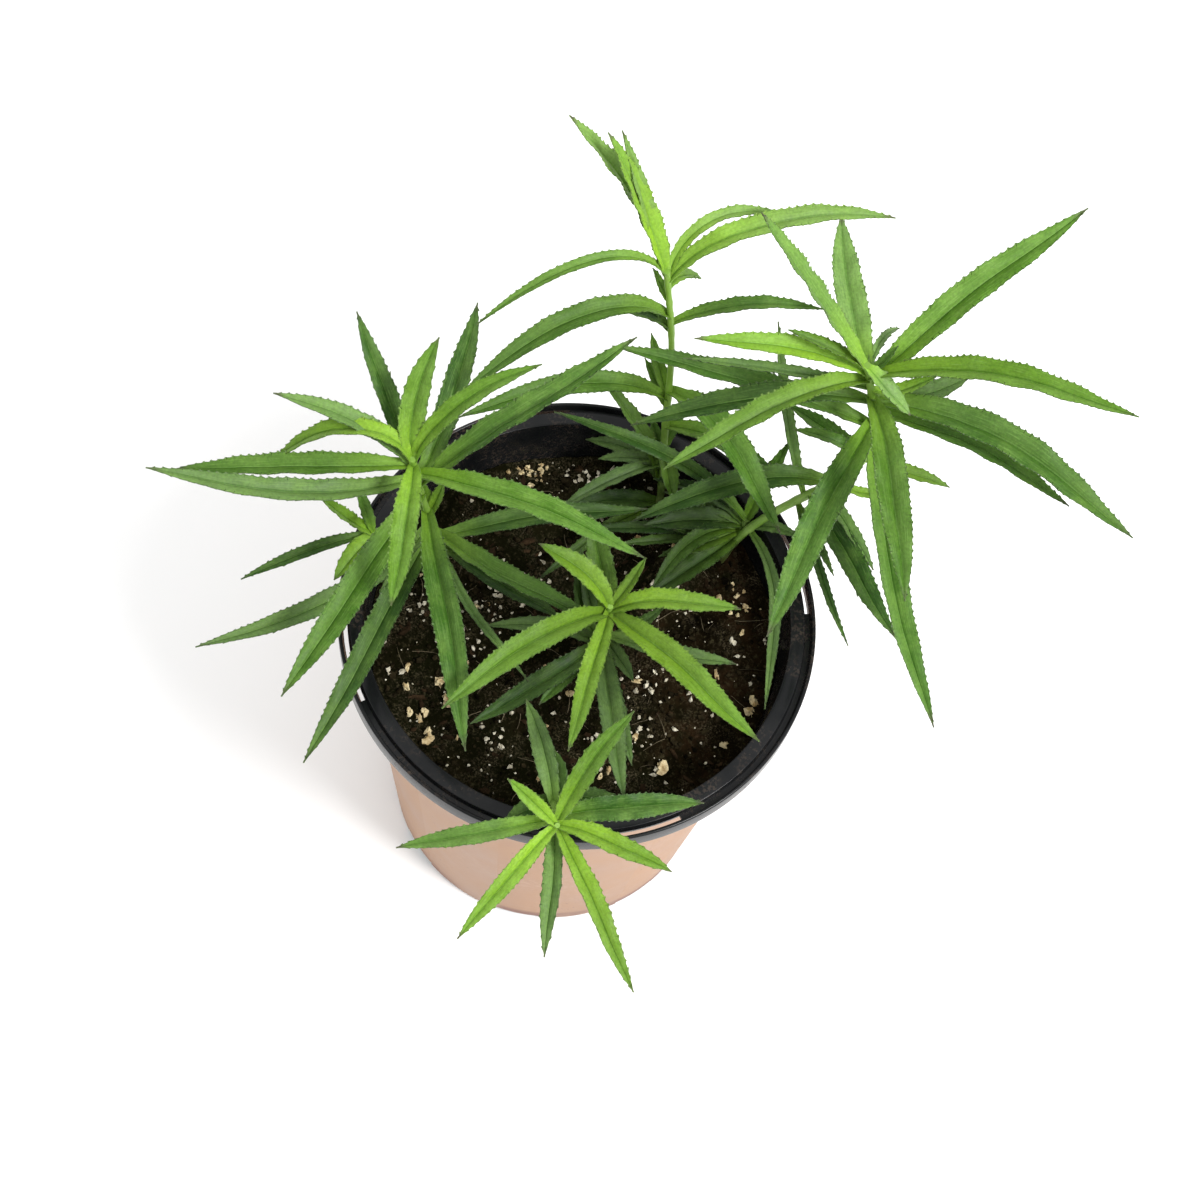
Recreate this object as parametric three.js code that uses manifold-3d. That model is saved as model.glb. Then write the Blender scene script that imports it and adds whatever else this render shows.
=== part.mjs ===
import * as THREE from 'three';
import { mergeVertices } from 'three/addons/utils/BufferGeometryUtils.js';
import Module from 'manifold-3d';

// A potted yarrow with narrow toothed leaves, in a thin nursery pot filled with potting soil.
// Millimetres, +Z up, origin at the centre of the pot's flat underside.
// +X points to the right side of the plant and +Y to its back.

// Pot
const rimRadius = 82.5;
const potHeight = 165;
const baseRadius = 63.5;
const wallThickness = 1.2;
const baseEdgeChamfer = 2;
const mouthRadius = 73.6;
const ledgeRadius = 78.6;
const ledgeDrop = 0.4;
const channelDepth = 2.6;
const channelInnerRadius = 79.1;
const channelOuterRadius = 80.7;
const lipInnerRadius = 81.2;
const skirtHeight = 8;
const potSides = 40;

// Slots through the channel of the rim and notches in the edge of the base
const slotCount = 4;
const slotMiddle = 25;
const slotSpan = 23;
const slotMargin = 0.1;
const notchCount = 8;
const notchSpan = 16;
const notchHeight = 4;
const notchInnerRadius = 57;
const arcSteps = 6;
const mergeDistance = 1e-4;

// Soil
const soilLevel = 143;
const soilRings = 6;
const lumpHeight = 0.9;
const lumpWidth = 9;
const lumpDepth = 11;
const lumpShift = 1.3;
const crumbShare = 0.7;
const crumbWidth = 5;
const crumbDepth = 6.5;
const bankHeight = 1.2;
const bankPower = 6;
const gap = 0.3;
const soilBottom = wallThickness + gap;
const stemHoleMargin = 0.4;

// Stems
const stemFootLevel = 128;
const stemSides = 8;
const stemStepLength = 9;
const fewestStemSteps = 3;

// Leaf blades
const bladeThickness = 0.9;
const bladeRootShare = 0.42;
const bladeWidestAt = 0.42;
const bladeTaperPower = 2.4;
const bendEarly = 0.5;
const bladeFold = 0.22;
const toothLength = 12.5;
const fewestTeeth = 2;
const toothPeakAt = 0.78;
const toothNotchWidth = 0.8;
const toothPeakWidth = 1.08;
const fineSteps = 4;

// Each leafy stem has a path, foot first, and its leaves, top first.
// A leaf is [share of the way up the stem, heading, rise at the root, rise that it bends
// towards, length, width, swing of the heading]: degrees and millimetres, headings turning
// left from +X.
const leftStem = {
  radius: 1.4,
  path: [[-50, 12, stemFootLevel], [-51, 12, 145], [-53, 13, 170], [-57, 9, 205], [-60, 5, 240]],
  leaves: [
    [1.00, 124, 70, 30, 42, 7.5, -70],
    [0.99, 58, 80, -5, 56, 6, -38],
    [0.98, 158, 88, -105, 62, 6, 55],
    [0.97, 196, 10, -25, 76, 7.5, -10],
    [0.97, 281, 35, -80, 50, 7.5, -15],
    [0.94, 164, 70, -10, 54, 6, 25],
    [0.91, 134, 55, 20, 54, 6, -10],
    [0.91, 350, 35, -30, 80, 8, 0],
    [0.88, 222, 15, 15, 86, 7, -44],
    [0.86, 72, 25, -5, 64, 7.5, 26],
    [0.83, 30, 50, 10, 86, 8.5, 12],
    [0.76, 255, 15, -25, 82, 9, -8],
    [0.62, 292, 20, -30, 85, 9, 0],
    [0.58, 60, 60, 50, 14, 4, 10],
    [0.56, 120, 60, 50, 13, 4, 0],
    [0.53, 258, 15, -5, 93, 6.5, -62],
    [0.49, 262, 15, -20, 94, 8, -10],
    [0.45, 328, 25, -10, 68, 7.5, 20],
    [0.40, 218, 25, -45, 40, 3, 60],
    [0.40, 26, 16, -8, 74, 7, -12],
    [0.40, 296, 10, -15, 62, 3, 35],
    [0.36, 336, 10, -10, 52, 6.5, 5],
    [0.33, 46, 20, -10, 30, 4.5, -20],
  ],
};
const leftBranch = {
  radius: 1.1,
  path: [[-52, 12, 152], [-58, 13, 158], [-66, 9, 168], [-72, 1, 190]],
  leaves: [
    [1.00, 192, 55, 50, 28, 5, -10],
    [1.00, 136, 70, 50, 22, 3.5, -5],
    [0.98, 238, 25, -25, 22, 6, 15],
    [0.95, 210, 25, -25, 48, 4, 8],
  ],
};
const centreStem = {
  radius: 1.3,
  path: [[10, -14, stemFootLevel], [10, -12, 145], [10, -10, 165], [10, -8, 192]],
  leaves: [
    [1.00, 136, 60, -5, 34, 7, 45],
    [0.98, 54, 50, 40, 22, 4, 10],
    [0.97, 17, 50, -35, 46, 7, -14],
    [0.97, 266, 20, -25, 52, 6.5, 0],
    [0.96, 322, 35, -15, 70, 8.5, 5],
    [0.95, 220, 45, -25, 72, 8, 15],
    [0.88, 108, 35, 10, 35, 8, 12],
    [0.70, 350, 10, -5, 46, 6, 15],
    [0.66, 280, 25, -20, 60, 7.5, 15],
    [0.66, 314, 30, -15, 20, 5, -5],
    [0.63, 236, 10, -10, 55, 7, -18],
    [0.59, 290, 0, -10, 44, 6, 10],
    [0.57, 144, 10, 10, 36, 4.5, -60],
    [0.55, 164, 35, -25, 42, 5, 40],
    [0.55, 30, 30, 10, 26, 4.5, 20],
    [0.52, 226, 20, -25, 30, 5.5, 20],
    [0.44, 112, 50, 15, 34, 4.5, 12],
  ],
};
const frontStem = {
  radius: 1.2,
  path: [[2, -53, stemFootLevel], [3, -57, 145], [5, -70, 168], [8, -86, 193]],
  leaves: [
    [0.99, 164, 50, 40, 26, 4.5, 0],
    [0.97, 352, 30, -25, 40, 6.5, -8],
    [0.97, 242, 10, -15, 48, 5.5, 0],
    [0.96, 78, 50, 10, 44, 6.5, -25],
    [0.96, 307, 5, -25, 58, 6.2, 0],
    [0.90, 277, 10, -25, 44, 5.5, 0],
    [0.89, 206, 10, -25, 52, 6, -10],
    [0.84, 18, 20, -20, 49, 7.5, 0],
    [0.65, 108, 25, 0, 36, 6.5, 18],
    [0.60, 72, 20, -10, 18, 5, 55],
    [0.57, 210, 45, -5, 20, 6, 25],
    [0.57, 22, 10, -20, 24, 6, -15],
  ],
};
const backStem = {
  radius: 1.5,
  path: [[19, 52, stemFootLevel], [20, 58, 145], [16, 68, 180], [12, 76, 220], [5, 78, 262]],
  leaves: [
    [1.00, 130, 62, 45, 67, 8, 68],
    [0.99, 146, 72, 55, 60, 7, 32],
    [0.98, 150, 68, 62, 58, 5, 5],
    [0.97, 46, 54, -34, 81, 7, -38],
    [0.96, 98, 72, -55, 58, 4, -112],
    [0.97, 197, 82, -78, 78, 3.4, 24],
    [0.94, 75, 30, -85, 20, 5, -55],
    [0.88, 150, 60, 45, 14, 2.5, 0],
    [0.83, 200, 57, -60, 82, 7, 30],
    [0.80, 32, 30, -20, 52, 5, -28],
    [0.78, 178, 50, -15, 24, 4, 10],
    [0.76, 158, 50, 50, 14, 2.5, 0],
    [0.55, 330, 40, -50, 68, 9, -25],
    [0.52, 134, 45, 50, 24, 4, -10],
    [0.52, 192, 50, -30, 80, 7, 26],
    [0.48, 136, 45, 40, 20, 3, 5],
    [0.42, 355, 30, -30, 50, 7, -25],
    [0.33, 86, 35, 10, 20, 4, -25],
    [0.28, 208, 25, -30, 42, 5.5, 20],
    [0.24, 112, 65, 25, 22, 5, 20],
    [0.21, 138, 60, -55, 36, 6, 45],
    [0.20, 138, 80, 20, 54, 6, 25],
    [0.14, 196, 25, -15, 34, 7, 5],
    [0.26, 176, 60, -50, 26, 4.5, 20],
    [0.32, 288, 55, -50, 22, 6, 5],
    [0.12, 222, 35, -20, 58, 4.5, 14],
  ],
};
const rightStem = {
  radius: 1.7,
  path: [
    [44, 39, stemFootLevel], [46, 42, 145], [50, 44, 160], [58, 49, 171], [69, 56, 178],
    [81, 61, 190], [84, 63, 210], [79, 64, 235], [73, 64, 255],
  ],
  leaves: [
    [1.00, 168, 55, 45, 70, 8, 0],
    [1.00, 326, 5, -50, 22, 6, 10],
    [0.99, 186, 50, 5, 32, 4.5, -5],
    [0.97, 184, 40, -15, 60, 6.5, 10],
    [0.97, 34, 45, 65, 14, 3, 5],
    [0.96, 120, 20, 0, 56, 9, -20],
    [0.96, 357, 55, -12, 89, 8, -13],
    [0.96, 96, 30, -65, 32, 2.5, -50],
    [0.95, 212, 32, -32, 78, 8, 15],
    [0.94, 48, 42, 18, 86, 9, -8],
    [0.91, 184, 15, -5, 62, 4, 5],
    [0.91, 358, -5, 25, 22, 4.5, 45],
    [0.87, 355, 30, -25, 97, 10, -30],
    [0.88, 290, 22, -35, 72, 9.5, -4],
    [0.88, 2, 0, 15, 34, 7, 40],
    [0.86, 190, 25, -45, 82, 8, 10],
    [0.82, 352, 28, -20, 72, 7, -20],
    [0.78, 250, 5, -35, 82, 10, 10],
    [0.76, 178, 25, -5, 92, 8, 5],
    [0.72, 283, -10, -20, 100, 8.5, 20],
    [0.62, 0, 5, -35, 34, 5, 5],
    [0.50, 184, 20, -35, 74, 8, 36],
    [0.61, 152, 35, -15, 32, 6, 10],
    [0.61, 168, 65, -15, 30, 5, 25],
    [0.52, 338, -40, 20, 26, 3.5, 60],
    [0.48, 294, 30, -30, 36, 5, 25],
    [0.44, 296, 25, -22, 62, 8, 20],
    [0.40, 292, -5, -40, 55, 3, 25],
    [0.40, 302, 0, -40, 30, 3, 20],
    [0.42, 128, 40, 35, 62, 4, -20],
  ],
};
const rightCrown = {
  radius: 1.5,
  path: [[45, 41, 140], [47, 43, 146], [51, 49, 164]],
  leaves: [
    [1.00, 160, 50, -10, 82, 5, 22],
    [0.92, 188, 30, -15, 38, 7.5, 20],
    [0.92, 311, 24, -14, 76, 4, -54],
    [0.92, 150, 45, -20, 38, 5, 40],
    [0.90, 74, 65, 30, 36, 5, -10],
    [0.90, 166, 40, -30, 32, 5, 10],
    [0.84, 226, 20, -10, 34, 5.5, -20],
    [0.80, 194, 40, -30, 46, 5.5, 70],
    [0.75, 236, 20, -15, 47, 8, -12],
    [0.85, 352, 65, 0, 26, 4, -15],
    [0.70, 206, 35, 0, 26, 5, -15],
    [0.62, 187, 22, -14, 56, 4.5, 10],
    [0.58, 196, 25, -12, 44, 4.5, 6],
  ],
};

const radians = THREE.MathUtils.degToRad;
const wasm = await Module();
wasm.setup();

// A closed geometry as a solid, with its shared vertices merged.
function solidOf(geometry) {
  const bare = geometry.clone();
  bare.deleteAttribute('normal');
  bare.deleteAttribute('uv');
  const merged = mergeVertices(bare, mergeDistance);
  const corners = merged.index.array;
  const triVerts = [];
  for (let i = 0; i < corners.length; i += 3) {
    const [a, b, c] = [corners[i], corners[i + 1], corners[i + 2]];
    if (a !== b && b !== c && c !== a) {
      triVerts.push(a, b, c);
    }
  }
  return new wasm.Manifold(new wasm.Mesh({
    numProp: 3,
    vertProperties: merged.attributes.position.array,
    triVerts: new Uint32Array(triVerts),
  }));
}

function meshOf(solid, name, material) {
  const { vertProperties, triVerts } = solid.getMesh();
  const geometry = new THREE.BufferGeometry();
  geometry.setAttribute('position', new THREE.Float32BufferAttribute(vertProperties, 3));
  geometry.setIndex(new THREE.Uint32BufferAttribute(triVerts, 1));
  geometry.computeVertexNormals();
  const mesh = new THREE.Mesh(geometry, material);
  mesh.name = name;
  return mesh;
}

// A profile of [radius, height] points turned round +Z.
function turned(profile, sides) {
  const points = profile.map(([r, z]) => new THREE.Vector2(r, z));
  return new THREE.LatheGeometry(points, sides).rotateX(Math.PI / 2);
}

// A block whose outline is part of a ring, between two radii and two heights.
function ringBlock(inner, outer, low, high, middle, span) {
  const shape = new THREE.Shape();
  const from = radians(middle - span / 2);
  const to = radians(middle + span / 2);
  shape.absarc(0, 0, outer, from, to, false);
  shape.absarc(0, 0, inner, to, from, true);
  const depth = high - low;
  const settings = { depth, bevelEnabled: false, curveSegments: arcSteps / 2 };
  return new THREE.ExtrudeGeometry(shape, settings).translate(0, 0, low);
}

function insideRadius(z) {
  const baseInside = baseRadius - wallThickness;
  return THREE.MathUtils.mapLinear(z, wallThickness, potHeight, baseInside, mouthRadius);
}

function potProfile() {
  const ledge = potHeight - ledgeDrop;
  const ledgeUnder = ledge - wallThickness;
  const channel = potHeight - channelDepth;
  const channelUnder = channel - wallThickness;
  const skirtInside = rimRadius - wallThickness;
  return [
    [0, 0],
    [baseRadius - baseEdgeChamfer, 0],
    [baseRadius, baseEdgeChamfer],
    [mouthRadius + wallThickness, ledgeUnder],
    [ledgeRadius - wallThickness / 2, ledgeUnder],
    [channelInnerRadius - wallThickness / 2, channelUnder],
    [skirtInside, channelUnder],
    [skirtInside, potHeight - skirtHeight],
    [rimRadius, potHeight - skirtHeight],
    [rimRadius, potHeight - wallThickness / 2],
    [rimRadius - wallThickness / 2, potHeight],
    [lipInnerRadius, potHeight],
    [channelOuterRadius, channel],
    [channelInnerRadius, channel],
    [ledgeRadius, ledge],
    [mouthRadius, ledge],
    [baseRadius - wallThickness, wallThickness],
    [0, wallThickness],
  ];
}

function potSolid() {
  let pot = solidOf(turned(potProfile(), potSides));
  const channelFloor = potHeight - channelDepth;
  for (let i = 0; i < slotCount; i += 1) {
    const middle = slotMiddle + (i * 360) / slotCount;
    pot = pot.subtract(solidOf(ringBlock(
      channelInnerRadius + slotMargin, channelOuterRadius - slotMargin,
      channelFloor - 2 * wallThickness, potHeight, middle, slotSpan,
    )));
  }
  for (let i = 0; i < notchCount; i += 1) {
    const middle = (i * 360) / notchCount;
    pot = pot.subtract(solidOf(ringBlock(
      notchInnerRadius, rimRadius, -notchHeight, notchHeight, middle, notchSpan,
    )));
  }
  return pot;
}

// Rise of the soil over its level: lumps from crossing waves, and a bank at the wall.
function soilRise(x, y, share) {
  const lumps = Math.sin(x / lumpWidth + lumpShift) * Math.cos(y / lumpDepth);
  const crumbs = Math.sin(x / crumbWidth - y / crumbDepth);
  return lumpHeight * (lumps + crumbShare * crumbs) + bankHeight * share ** bankPower;
}

function soilSolid(stems) {
  const bottomRadius = insideRadius(soilBottom) - gap;
  const topRadius = insideRadius(soilLevel) - gap;
  const profile = [[0, soilBottom], [bottomRadius, soilBottom]];
  for (let i = soilRings; i >= 0; i -= 1) {
    profile.push([(topRadius * i) / soilRings, soilLevel]);
  }
  const geometry = turned(profile, potSides);
  const place = geometry.attributes.position;
  for (let i = 0; i < place.count; i += 1) {
    const [x, y, z] = [place.getX(i), place.getY(i), place.getZ(i)];
    if (z > soilBottom + gap) {
      const share = Math.hypot(x, y) / topRadius;
      const top = soilLevel + soilRise(x, y, share);
      const wallShare = (insideRadius(top) - gap) / topRadius;
      const spread = 1 + (wallShare - 1) * share ** bankPower;
      place.setXYZ(i, x * spread, y * spread, top);
    }
  }
  let soil = solidOf(geometry);
  for (const stem of stems) {
    soil = soil.subtract(stemSolid(stem, stemHoleMargin));
  }
  return soil;
}

function stemCurve(stem, deeper = 0) {
  const points = stem.path.map(([x, y, z]) => new THREE.Vector3(x, y, z));
  points[0].z -= deeper;
  return new THREE.CatmullRomCurve3(points, false, 'centripetal');
}

function stemSolid(stem, margin = 0) {
  const curve = stemCurve(stem, margin);
  const outline = new THREE.Shape();
  outline.absarc(0, 0, stem.radius + margin, 0, 2 * Math.PI, false);
  const steps = Math.max(fewestStemSteps, Math.round(curve.getLength() / stemStepLength));
  return solidOf(new THREE.ExtrudeGeometry(outline, {
    steps,
    extrudePath: curve,
    curveSegments: stemSides / 2,
    bevelEnabled: false,
  }));
}

// Share of the full width at a share of the length, without the teeth.
function bladeOutline(along) {
  if (along < bladeWidestAt) {
    const swell = Math.sin((Math.PI / 2) * (along / bladeWidestAt));
    return bladeRootShare + (1 - bladeRootShare) * swell;
  }
  return 1 - ((along - bladeWidestAt) / (1 - bladeWidestAt)) ** bladeTaperPower;
}

// Shares of the length where the edge of a leaf turns, each with its share of the width:
// a notch and then a peak nearer the tip, for each tooth.
function toothedEdge(length) {
  const teeth = Math.max(fewestTeeth, Math.round(length / toothLength));
  const edge = [{ along: 0, width: bladeRootShare }];
  for (let i = 0; i < teeth; i += 1) {
    const notch = i / teeth;
    const peak = (i + toothPeakAt) / teeth;
    if (i > 0) {
      edge.push({ along: notch, width: bladeOutline(notch) * toothNotchWidth });
    }
    edge.push({ along: peak, width: bladeOutline(peak) * toothPeakWidth });
  }
  return edge;
}

// Share of the bend of a leaf at a share of its length. The root bends more than the tip, and
// the mean stays a half, so the tip lands about where an even bend would bring it.
function bendShare(along) {
  return along * (1 + bendEarly) - 1.5 * bendEarly * along ** 2;
}

// The middle line of a leaf bends from its heading and rise at the root towards those of its tip.
// Each section has a left edge, an upper middle, a right edge and a lower middle.
function leafGeometry(root, [, heading, rise, tipRise, length, width, swing]) {
  const edge = toothedEdge(length);
  const places = [];
  const middle = root.clone();
  let reached = 0;
  const directionAt = (along) => {
    const turn = radians(heading + swing * bendShare(along));
    const lift = radians(rise + (tipRise - rise) * bendShare(along));
    const level = Math.cos(lift);
    return new THREE.Vector3(level * Math.cos(turn), level * Math.sin(turn), Math.sin(lift));
  };
  const moveTo = (along) => {
    const step = (along - reached) / fineSteps;
    for (let i = 0; i < fineSteps; i += 1) {
      middle.addScaledVector(directionAt(reached + step * (i + 0.5)), step * length);
    }
    reached = along;
  };
  for (const { along, width: share } of edge) {
    moveTo(along);
    const turn = radians(heading + swing * bendShare(along));
    const side = new THREE.Vector3(-Math.sin(turn), Math.cos(turn), 0);
    const up = directionAt(along).cross(side);
    const half = (width / 2) * share;
    const valley = middle.clone().addScaledVector(up, -bladeFold * half);
    places.push(
      middle.clone().addScaledVector(side, half),
      valley.clone().addScaledVector(up, bladeThickness / 2),
      middle.clone().addScaledVector(side, -half),
      valley.clone().addScaledVector(up, -bladeThickness / 2),
    );
  }
  moveTo(1);
  places.push(middle.clone());
  return stripGeometry(places, edge.length);
}

// Triangles of a leaf. Its upper and lower faces are split alike.
function stripGeometry(places, sections) {
  const index = [0, 3, 1, 1, 3, 2];
  for (let i = 0; i < sections - 1; i += 1) {
    const [left, upper, right, lower] = [0, 1, 2, 3].map((corner) => i * 4 + corner);
    const [nextLeft, nextUpper, nextRight, nextLower] = [left, upper, right, lower].map((c) => c + 4);
    index.push(left, upper, nextUpper, left, nextUpper, nextLeft);
    index.push(upper, right, nextUpper, right, nextRight, nextUpper);
    index.push(left, nextLower, lower, left, nextLeft, nextLower);
    index.push(lower, nextLower, right, right, nextLower, nextRight);
  }
  const tip = sections * 4;
  const [left, upper, right, lower] = [tip - 4, tip - 3, tip - 2, tip - 1];
  index.push(left, upper, tip, upper, right, tip, right, lower, tip, lower, left, tip);
  const geometry = new THREE.BufferGeometry().setFromPoints(places);
  geometry.setIndex(index);
  return geometry;
}

function leafyStemSolid(stem) {
  const curve = stemCurve(stem);
  const leaves = stem.leaves.map((leaf) => solidOf(leafGeometry(curve.getPointAt(leaf[0]), leaf)));
  return leaves.reduce((joined, leaf) => joined.add(leaf), stemSolid(stem));
}

const potPlastic = new THREE.MeshStandardMaterial({ color: 0xc9a596, roughness: 0.55, metalness: 0 });
const soilEarth = new THREE.MeshStandardMaterial({ color: 0x2a1f19, roughness: 1, metalness: 0 });
const leafGreen = new THREE.MeshStandardMaterial({ color: 0x5f9433, roughness: 0.6, metalness: 0 });

const foliage = new THREE.Group();
const stemParts = {
  leafy_stem_left: [leftStem, leftBranch],
  leafy_stem_centre: [centreStem],
  leafy_stem_front: [frontStem],
  leafy_stem_back: [backStem],
  leafy_stem_right: [rightStem, rightCrown],
};
for (const [name, stems] of Object.entries(stemParts)) {
  const solid = stems.map(leafyStemSolid).reduce((joined, stem) => joined.add(stem));
  foliage.add(meshOf(solid, name, leafGreen.clone()));
}

const group = new THREE.Group();
group.add(meshOf(potSolid(), 'pot', potPlastic));
group.add(meshOf(soilSolid(Object.values(stemParts).flat()), 'soil', soilEarth));
group.add(foliage);

export default group;
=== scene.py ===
import math
import random

import bpy
from mathutils import Matrix, Vector, noise


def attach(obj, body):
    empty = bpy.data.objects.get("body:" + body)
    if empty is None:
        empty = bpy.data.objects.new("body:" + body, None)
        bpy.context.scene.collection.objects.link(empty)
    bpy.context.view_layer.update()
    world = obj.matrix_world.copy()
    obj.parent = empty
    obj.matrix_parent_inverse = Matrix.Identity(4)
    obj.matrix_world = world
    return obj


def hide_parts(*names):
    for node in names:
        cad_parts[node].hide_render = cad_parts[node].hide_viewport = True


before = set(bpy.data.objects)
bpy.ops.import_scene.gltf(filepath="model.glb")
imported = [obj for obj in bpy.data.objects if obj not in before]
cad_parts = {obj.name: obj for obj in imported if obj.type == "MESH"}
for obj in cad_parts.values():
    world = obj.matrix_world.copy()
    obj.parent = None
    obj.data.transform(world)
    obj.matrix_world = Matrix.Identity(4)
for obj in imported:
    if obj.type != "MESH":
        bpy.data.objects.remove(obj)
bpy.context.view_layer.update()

# A potted yarrow with narrow toothed leaves in a thin two-tone nursery pot.
# Metres, +Z up, origin at the centre of the pot's underside.

bpy.context.scene.cursor.location = (0, 0, 0)


def deselectAll():
    if bpy.context.object and bpy.context.object.mode != "OBJECT":
        bpy.ops.object.mode_set(mode="OBJECT")
    bpy.ops.object.select_all(action="DESELECT")


def pick(*objects):
    deselectAll()
    for each in objects:
        each.select_set(True)
    bpy.context.view_layer.objects.active = objects[0]


def editAll():
    bpy.ops.object.mode_set(mode="EDIT")
    bpy.ops.mesh.select_all(action="SELECT")


def copyOf(master):
    copy = master.copy()
    copy.data = master.data.copy()
    bpy.context.collection.objects.link(copy)
    return copy


def joinAll(objects, name):
    pick(*objects)
    if len(objects) > 1:
        bpy.ops.object.join()
    joined = bpy.context.object
    joined.name = name
    joined.data.name = name
    return joined


def addModifier(piece, kind, **settings):
    pick(piece)
    bpy.ops.object.modifier_add(type=kind)
    for key, value in settings.items():
        setattr(piece.modifiers[-1], key, value)


def applyModifiers(piece):
    pick(piece)
    for modifier in list(piece.modifiers):
        bpy.ops.object.modifier_apply(modifier=modifier.name)


def mergeAndFaceOut(piece, distance=0.000002):
    pick(piece)
    editAll()
    bpy.ops.mesh.remove_doubles(threshold=distance)
    bpy.ops.mesh.normals_make_consistent(inside=False)
    bpy.ops.object.mode_set(mode="OBJECT")


def smooth(piece, degrees):
    pick(piece)
    bpy.ops.object.shade_smooth_by_angle(angle=math.radians(degrees))


def giveMaterial(piece, material):
    piece.data.materials.clear()
    piece.data.materials.append(material)


def settle(piece, nodes):
    piece.data.materials.update()
    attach(piece, "root")
    if nodes:
        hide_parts(*nodes)
    print("piece", piece.name, sum(len(face.vertices) - 2 for face in piece.data.polygons), "triangles")


# Node helpers for the materials

def wire(tree, source, target):
    tree.links.new(source, target)


# A plain Principled material, and the place on the object that its patterns read.
def newMaterial(name):
    material = bpy.data.materials.new(name)
    material.use_nodes = True
    tree = material.node_tree
    tree.nodes.clear()
    shader = tree.nodes.new("ShaderNodeBsdfPrincipled")
    output = tree.nodes.new("ShaderNodeOutputMaterial")
    wire(tree, shader.outputs["BSDF"], output.inputs["Surface"])
    place = tree.nodes.new("ShaderNodeTexCoord").outputs["Object"]
    return material, tree, shader, place


def addNode(tree, kind, **values):
    made = tree.nodes.new(kind)
    for key, value in values.items():
        if key in made.inputs:
            made.inputs[key].default_value = value
        else:
            setattr(made, key, value)
    return made


# A value for a socket is another socket, a number or a colour.
def feed(tree, value, socket):
    if isinstance(value, bpy.types.NodeSocket):
        wire(tree, value, socket)
    else:
        socket.default_value = (*value, 1) if isinstance(value, tuple) else value


def ramp(tree, factor, stops):
    made = tree.nodes.new("ShaderNodeValToRGB")
    while len(made.color_ramp.elements) < len(stops):
        made.color_ramp.elements.new(1.0)
    for element, (place, colour) in zip(made.color_ramp.elements, stops):
        element.position = place
        element.color = (*colour, 1)
    wire(tree, factor, made.inputs["Fac"])
    return made.outputs["Color"]


def greyRamp(tree, factor, low, high, fromValue=0.0, toValue=1.0):
    made = addNode(tree, "ShaderNodeMapRange", clamp=True)
    wire(tree, factor, made.inputs["Value"])
    for name, value in (("From Min", low), ("From Max", high), ("To Min", fromValue), ("To Max", toValue)):
        made.inputs[name].default_value = value
    return made.outputs["Result"]


def mixColours(tree, factor, first, second, blend="MIX"):
    made = addNode(tree, "ShaderNodeMix", data_type="RGBA", blend_type=blend)
    for value, index in ((factor, 0), (first, 6), (second, 7)):
        feed(tree, value, made.inputs[index])
    return made.outputs[2]


def sums(tree, operation, first, second=0.0):
    made = addNode(tree, "ShaderNodeMath", operation=operation)
    feed(tree, first, made.inputs[0])
    feed(tree, second, made.inputs[1])
    return made.outputs[0]


def times(tree, first, second):
    return sums(tree, "MULTIPLY", first, second)


def axisOf(tree, vector, axis):
    made = addNode(tree, "ShaderNodeSeparateXYZ")
    wire(tree, vector, made.inputs["Vector"])
    return made.outputs[axis]


def noiseOn(tree, place, scale, detail=3.0, roughness=0.55):
    made = addNode(tree, "ShaderNodeTexNoise", Scale=scale, Detail=detail, Roughness=roughness)
    wire(tree, place, made.inputs["Vector"])
    return made.outputs["Fac"]


# What every finish ends in. Strength and distance are those of the relief.
def setSurface(tree, shader, colour, roughness, shine, relief, strength, distance):
    wire(tree, colour, shader.inputs["Base Color"])
    wire(tree, roughness, shader.inputs["Roughness"])
    shader.inputs["Specular IOR Level"].default_value = shine
    bump = addNode(tree, "ShaderNodeBump", Strength=strength, Distance=distance)
    wire(tree, relief, bump.inputs["Height"])
    wire(tree, bump.outputs["Normal"], shader.inputs["Normal"])


# Dust mask: cloudy patches broken up by fine grains, shared by the pot and the soil.
def makeDustGroup():
    group = bpy.data.node_groups.new("dustMask", "ShaderNodeTree")
    group.interface.new_socket("Place", in_out="INPUT", socket_type="NodeSocketVector")
    for name, side in (("Patch Scale", "INPUT"), ("Grain Scale", "INPUT"), ("Mask", "OUTPUT")):
        group.interface.new_socket(name, in_out=side, socket_type="NodeSocketFloat")
    inputs = group.nodes.new("NodeGroupInput")
    outputs = group.nodes.new("NodeGroupOutput")
    patches = addNode(group, "ShaderNodeTexNoise", Detail=3.0, Roughness=0.6)
    grains = addNode(group, "ShaderNodeTexNoise", Detail=2.0, Roughness=0.7)
    for made, scale in ((patches, "Patch Scale"), (grains, "Grain Scale")):
        wire(group, inputs.outputs["Place"], made.inputs["Vector"])
        wire(group, inputs.outputs[scale], made.inputs["Scale"])
    patchMask = greyRamp(group, patches.outputs["Fac"], 0.48, 0.66)
    grainMask = greyRamp(group, grains.outputs["Fac"], 0.5, 0.62)
    wire(group, times(group, patchMask, grainMask), outputs.inputs["Mask"])
    return group


dustGroup = makeDustGroup()


def dustMask(tree, place, patchScale, grainScale):
    made = tree.nodes.new("ShaderNodeGroup")
    made.node_tree = dustGroup
    made.inputs["Patch Scale"].default_value = patchScale
    made.inputs["Grain Scale"].default_value = grainScale
    wire(tree, place, made.inputs["Place"])
    return made.outputs["Mask"]


# Camera, at the photograph's angle
camera = {
    "place": (0.0062, -0.2822, 0.7919),
    "elevation": 65.316,
    "roll": 12.159,
    "focal": 60.0,
    "sensor": 36.0,
    "clipStart": 0.01,
}


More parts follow.
